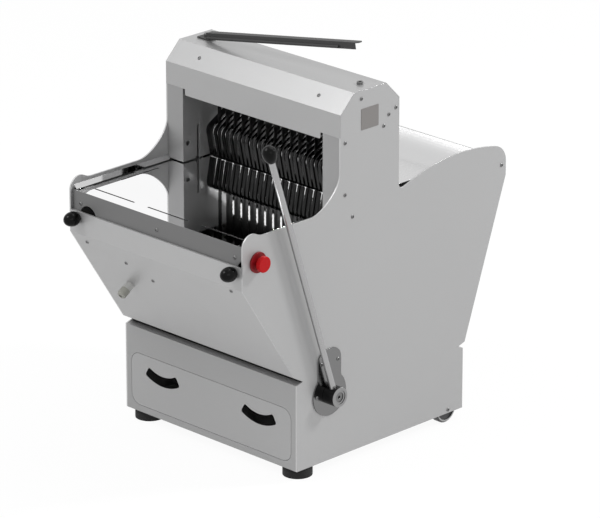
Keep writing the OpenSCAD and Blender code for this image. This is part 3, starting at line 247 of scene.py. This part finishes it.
# The knives' steel gets a near-black grey: painted shade inside the tower
knife_steel_painted_shade = metal("knife steel painted shade", *grey(0.035, 0.15), 0.3, ALONG_Z)
arm_paint = metal("arm paint", *grey(0.03, 0.1), 0.5, ALONG_X, metallic=0.3)
black_gloss = moulding("black gloss", (0.003, 0.003, 0.003), (0.002, 0.002, 0.002), 0.04,
                       depth=0.01, gloss=0.11)
foot_rubber = moulding("foot rubber", (0.016, 0.016, 0.016), (0.008, 0.008, 0.008), 0.6, 1400.0, 0.3,
                       gloss=0.25)
belt_rubber = moulding("belt rubber", (0.02, 0.02, 0.02), (0.012, 0.012, 0.012), 0.7, 1200.0, 0.3)
stop_red = moulding("stop red", (0.38, 0.003, 0.005), (0.34, 0.002, 0.004), 0.36, depth=0.05, gloss=0.12)
collar_red = moulding("collar red", (0.2, 0.004, 0.007), (0.165, 0.003, 0.006), 0.4, depth=0.05, gloss=0.2)
gland_pale = moulding("gland pale", (0.44, 0.44, 0.43), (0.39, 0.39, 0.38), 0.4)
gland_olive = moulding("gland olive", (0.28, 0.28, 0.25), (0.24, 0.24, 0.213), 0.42)
dark_plastic = moulding("dark plastic", (0.03, 0.03, 0.031), (0.02, 0.02, 0.021), 0.45)
wheel_plastic = moulding("wheel plastic", (0.06, 0.06, 0.062), (0.04, 0.04, 0.042), 0.45)
motor_paint = moulding("motor paint", (0.1, 0.16, 0.23), (0.08, 0.13, 0.19), 0.35, 300.0, 0.1)

# A near-black finish for inner and hidden faces: painted shade
painted_shade_inside = metal("painted shade inside", *grey(0.03, 0.15), 0.5, ALONG_X, metallic=0.3)
edge_ground = metal("ground edge", *grey(0.5, 0.04), 0.3, ALONG_X, metallic=0.6)
# The table's front strip: its own steel given a darker grey as painted shade
flange_painted_shade = metal("flange painted shade", *grey(0.162), 0.4, ALONG_X, metallic=0.55, rounding=0.8)
hub_bright = metal("turned end", *grey(0.26, 0.06), 0.3, ALONG_X, metallic=0.8)
rim_pale = moulding("rim pale", (0.33, 0.33, 0.33), (0.28, 0.28, 0.28), 0.45)
plate_grey = metal("bare plate grey", (0.2, 0.19, 0.184), (0.175, 0.167, 0.162), 0.5, ALONG_Y,
                   metallic=0.3)
comb_steel = metal("comb steel", *grey(0.026, 0.008), 0.14, ALONG_Z, depth=0.05, rounding=1.2)

FINISH = {
    side_satin: ["side_panel_left", "side_panel_right"],
    front_satin: ["base_back_panel", "rear_cover", "crumb_drawer"],
    # The base front, apron and pillars get greys that are painted shade and painted light
    base_satin_painted_shade: ["base_front_panel"],
    apron_satin_painted_light: ["apron"],
    pillar_satin_painted_shade: ["pillars"],
    cover_satin: ["top_cover"],
    plate_polish: ["lever_plate"],
    table_mirror: ["front_table"],
    rail_mirror: ["table_rails"],
    chute_polish: ["rear_chute"],
    plain_steel: ["base_floor", "table_bearers", "drawer_runners", "lever_bearings", "rail_brackets",
                  "rod_clamps", "drive_shelf", "wheel_brackets", "rocker_arms", "pusher_sides", "front_rods",
                  "rear_rods"],
    # The cross beams get the near-black finish as painted shade
    painted_shade_inside: ["cross_beams"],
    turned_steel: ["slide_rails", "guide_rods", "crankshaft"],
    screw_steel: ["side_screws", "front_screws", "top_bolts", "cross_shaft"],
    hub_steel: ["lever_hub"],
    rod_steel: ["lever_rod"],
    comb_steel: ["comb_fingers"],
    frame_steel: ["comb_bar", "front_frame", "rear_frame", "pillow_blocks", "drive_pulley", "motor_pulley",
                  "slide_blocks"],
    knife_steel_painted_shade: ["front_knives", "rear_knives"],
    arm_paint: ["bag_arm"],
    black_gloss: ["lever_knob", "hand_screw_left", "hand_screw_right"],
    foot_rubber: ["front_feet"],
    belt_rubber: ["drive_belt"],
    stop_red: ["stop_button"],
    collar_red: ["stop_collar"],
    gland_pale: ["gland_body"],
    gland_olive: ["gland_cap"],
    dark_plastic: ["stop_contact"],
    wheel_plastic: ["wheel_left", "wheel_right"],
    motor_paint: ["motor"],
}
for finish, names in FINISH.items():
    for name in names:
        pieces[name].data.materials.clear()
        pieces[name].data.materials.append(finish)


def face_table(mesh):
    """The normal and the middle of every face, one row each."""
    normals = np.empty(len(mesh.polygons) * 3)
    middles = np.empty(len(mesh.polygons) * 3)
    mesh.polygons.foreach_get("normal", normals)
    mesh.polygons.foreach_get("center", middles)
    return normals.reshape(-1, 3), middles.reshape(-1, 3)


def finish_faces(name, finish, chosen):
    """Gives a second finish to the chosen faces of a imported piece."""
    mesh = pieces[name].data
    mesh.materials.append(finish)
    places = np.empty(len(mesh.polygons), dtype=np.int32)
    mesh.polygons.foreach_get("material_index", places)
    places[chosen] = len(mesh.materials) - 1
    mesh.polygons.foreach_set("material_index", places)


# How far a normal's share along an axis goes for a face that looks straight along it, or is only tilted to it
STRAIGHT = 0.9
TILTED = 0.3
ACROSS = 0.5
# A wheel's rim ring, as inner and outer radius
RIM = (27.5 * MM, 33 * MM)
# How far in from the table's front and sides its own sheet begins
TABLE_FRONT_INSET = 20 * MM
TABLE_SIDE_INSET = 10 * MM

# The side panels' cut edges are ground
for name in ("side_panel_left", "side_panel_right"):
    normals, _ = face_table(pieces[name].data)
    finish_faces(name, edge_ground, np.abs(normals[:, 0]) < ACROSS)

# Inside, the cover gets a near-black finish as painted shade
normals, middles = face_table(pieces["top_cover"].data)
low, high = np.array(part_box("top_cover"))
deep = (low[1] + high[1]) / 2
from_below = normals[:, 2] < -TILTED
front_wall = (normals[:, 1] > STRAIGHT) & (middles[:, 1] < deep)
back_wall = (normals[:, 1] < -STRAIGHT) & (middles[:, 1] > deep)
finish_faces("top_cover", painted_shade_inside, from_below | front_wall | back_wall)

# The apron's inner side gets a near-black finish as painted shade
normals, _ = face_table(pieces["apron"].data)
finish_faces("apron", painted_shade_inside, normals[:, 1] > TILTED)

# A wheel's rim ring is pale, its tyre and dish are dark
for name in ("wheel_left", "wheel_right"):
    normals, middles = face_table(pieces[name].data)
    axle = np.mean(np.array(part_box(name)), axis=0)
    apart = np.hypot(middles[:, 1] - axle[1], middles[:, 2] - axle[2])
    finish_faces(name, rim_pale, (np.abs(normals[:, 0]) > STRAIGHT) & (apart > RIM[0]) & (apart < RIM[1]))

# The table's turned-down front and its outer edges get a darker grey than its mirror top as painted shade; its
# slots' walls and its underside get the near-black finish as painted shade
normals, middles = face_table(pieces["front_table"].data)
below_top = normals[:, 2] < STRAIGHT
finish_faces("front_table", flange_painted_shade, below_top)
low, high = np.array(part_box("front_table"))
within = ((middles[:, 1] > low[1] + TABLE_FRONT_INSET)
          & (middles[:, 0] > low[0] + TABLE_SIDE_INSET) & (middles[:, 0] < high[0] - TABLE_SIDE_INSET))
finish_faces("front_table", painted_shade_inside, within & below_top)

# The hub's end is turned bright, its barrel is dark
normals, _ = face_table(pieces["lever_hub"].data)
finish_faces("lever_hub", hub_bright, normals[:, 0] > STRAIGHT)


# ---------------------------------------------------------------- small fittings

def rounded_plate(name, low, high, lift, thick, corner, steps=10):
    """A bare plate on a wall that faces +X: a rounded rectangle between two corners, given as (y, z) in mm.

    Each corner is a quarter circle about a point one corner radius in from both sides. The same outline is
    set at the wall, just below the face, and, one chamfer smaller, on the face.
    """
    turn = np.linspace(0, np.pi / 2, steps)
    quarter = np.concatenate([turn + k * np.pi / 2 for k in range(4)])
    low, high = np.array(low, float), np.array(high, float)
    ends = np.array([[high[0], high[1]], [low[0], high[1]], [low[0], low[1]], [high[0], low[1]]])
    inward = np.array([[-1, -1], [1, -1], [1, 1], [-1, 1]])
    ease = 0.25 * thick
    middle = np.repeat(ends + corner * inward, steps, axis=0)
    arm = np.stack([np.cos(quarter), np.sin(quarter)], axis=1)
    rings = [(middle + corner * arm, lift), (middle + corner * arm, lift + thick - ease),
             (middle + (corner - ease) * arm, lift + thick)]
    points = np.concatenate([np.column_stack([np.full(len(ring), x), ring]) for ring, x in rings])
    count = 4 * steps
    here = np.arange(count)
    after = np.roll(here, -1)
    walls = np.concatenate([np.column_stack([here, after, after + count, here + count]) + k * count
                            for k in range(len(rings) - 1)])
    mesh = bpy.data.meshes.new(name)
    mesh.from_pydata(((points - SHIFT) * MM).tolist(), [],
                     walls.tolist() + [here[::-1].tolist(), (here + (len(rings) - 1) * count).tolist()])
    made = bpy.data.objects.new(name, mesh)
    scene.collection.objects.link(made)
    return made


# Just off the right side panel's outer face
PLATE_LIFT = 300.05
PLATE_THICK = 0.6
PLATE_CORNER = 2.5
bare_plate = rounded_plate("bare_plate", (217, 845.5), (277, 899.5), PLATE_LIFT, PLATE_THICK, PLATE_CORNER)
bare_plate.data.materials.append(plate_grey)
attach(bare_plate, "machine")


# ---------------------------------------------------------------- floor, world and lamps

FLOOR_HALF = 40
FLOOR_GREY = 0.86
FLOOR_GLOW_SHARE = 0.94
AMBIENT = 0.55
WHITE = (1, 1, 1, 1)


def seen_directly(tree):
    """1 for rays from the camera, a mirror or glass, 0 for those that only carry light."""
    path = add(tree, "LightPath")
    return maths(tree, "MAXIMUM", path.outputs["Is Camera Ray"],
                 maths(tree, "MAXIMUM", path.outputs["Is Glossy Ray"], path.outputs["Is Transmission Ray"]))


def flat_sheet(name, corners):
    """A single four-cornered face."""
    mesh = bpy.data.meshes.new(name)
    mesh.from_pydata([tuple(c) for c in corners], [], [(0, 1, 2, 3)])
    made = bpy.data.objects.new(name, mesh)
    scene.collection.objects.link(made)
    return made


floor = flat_sheet("floor", [(-FLOOR_HALF, -FLOOR_HALF, 0), (FLOOR_HALF, -FLOOR_HALF, 0),
                             (FLOOR_HALF, FLOOR_HALF, 0), (-FLOOR_HALF, FLOOR_HALF, 0)])
floor_paint, tree, shader = new_material("floor paint")
shader.inputs["Base Color"].default_value = (FLOOR_GREY, FLOOR_GREY, FLOOR_GREY, 1)
shader.inputs["Roughness"].default_value = 0.9
shader.inputs["Specular IOR Level"].default_value = 0.0
glow = add(tree, "Emission", {"Color": WHITE, "Strength": 1.0})
share = maths(tree, "MULTIPLY", seen_directly(tree), FLOOR_GLOW_SHARE)
lit = add(tree, "MixShader", {0: share, 1: shader.outputs[0], 2: glow.outputs[0]})
tree.links.new(lit.outputs[0], tree.nodes["Material Output"].inputs[0])
floor.data.materials.append(floor_paint)

world = bpy.data.worlds.new("studio")
scene.world = world
world.use_nodes = True
tree = world.node_tree
tree.nodes.clear()
backdrop = add(tree, "Background", {"Color": WHITE, "Strength": 1.0})
ambient = add(tree, "Background", {"Color": WHITE, "Strength": AMBIENT})
both = add(tree, "MixShader", {0: seen_directly(tree), 1: ambient.outputs[0], 2: backdrop.outputs[0]})
out = add(tree, "OutputWorld")
tree.links.new(both.outputs[0], out.inputs[0])


def soft_lamp(name, place, towards, size, watts):
    """A square soft box at a place, turned towards a point."""
    data = bpy.data.lights.new(name, "AREA")
    data.shape = "SQUARE"
    data.size = size
    data.energy = watts
    made = bpy.data.objects.new(name, data)
    scene.collection.objects.link(made)
    made.location = place
    made.rotation_euler = (Vector(towards) - Vector(place)).to_track_quat("-Z", "Y").to_euler()


soft_lamp("key lamp", (-1.9, -3.0, 5.2), (0, 0, 0.5), 2.4, 165)
soft_lamp("side lamp", (3.4, 4.2, 4.6), (0.2, 0, 0.5), 0.9, 300)
soft_lamp("fill lamp", (4.2, -1.6, 2.6), (0, 0, 0.5), 2.4, 20)
soft_lamp("top lamp", (0.6, 1.6, 4.6), (0, 0, 0.6), 2.4, 40)
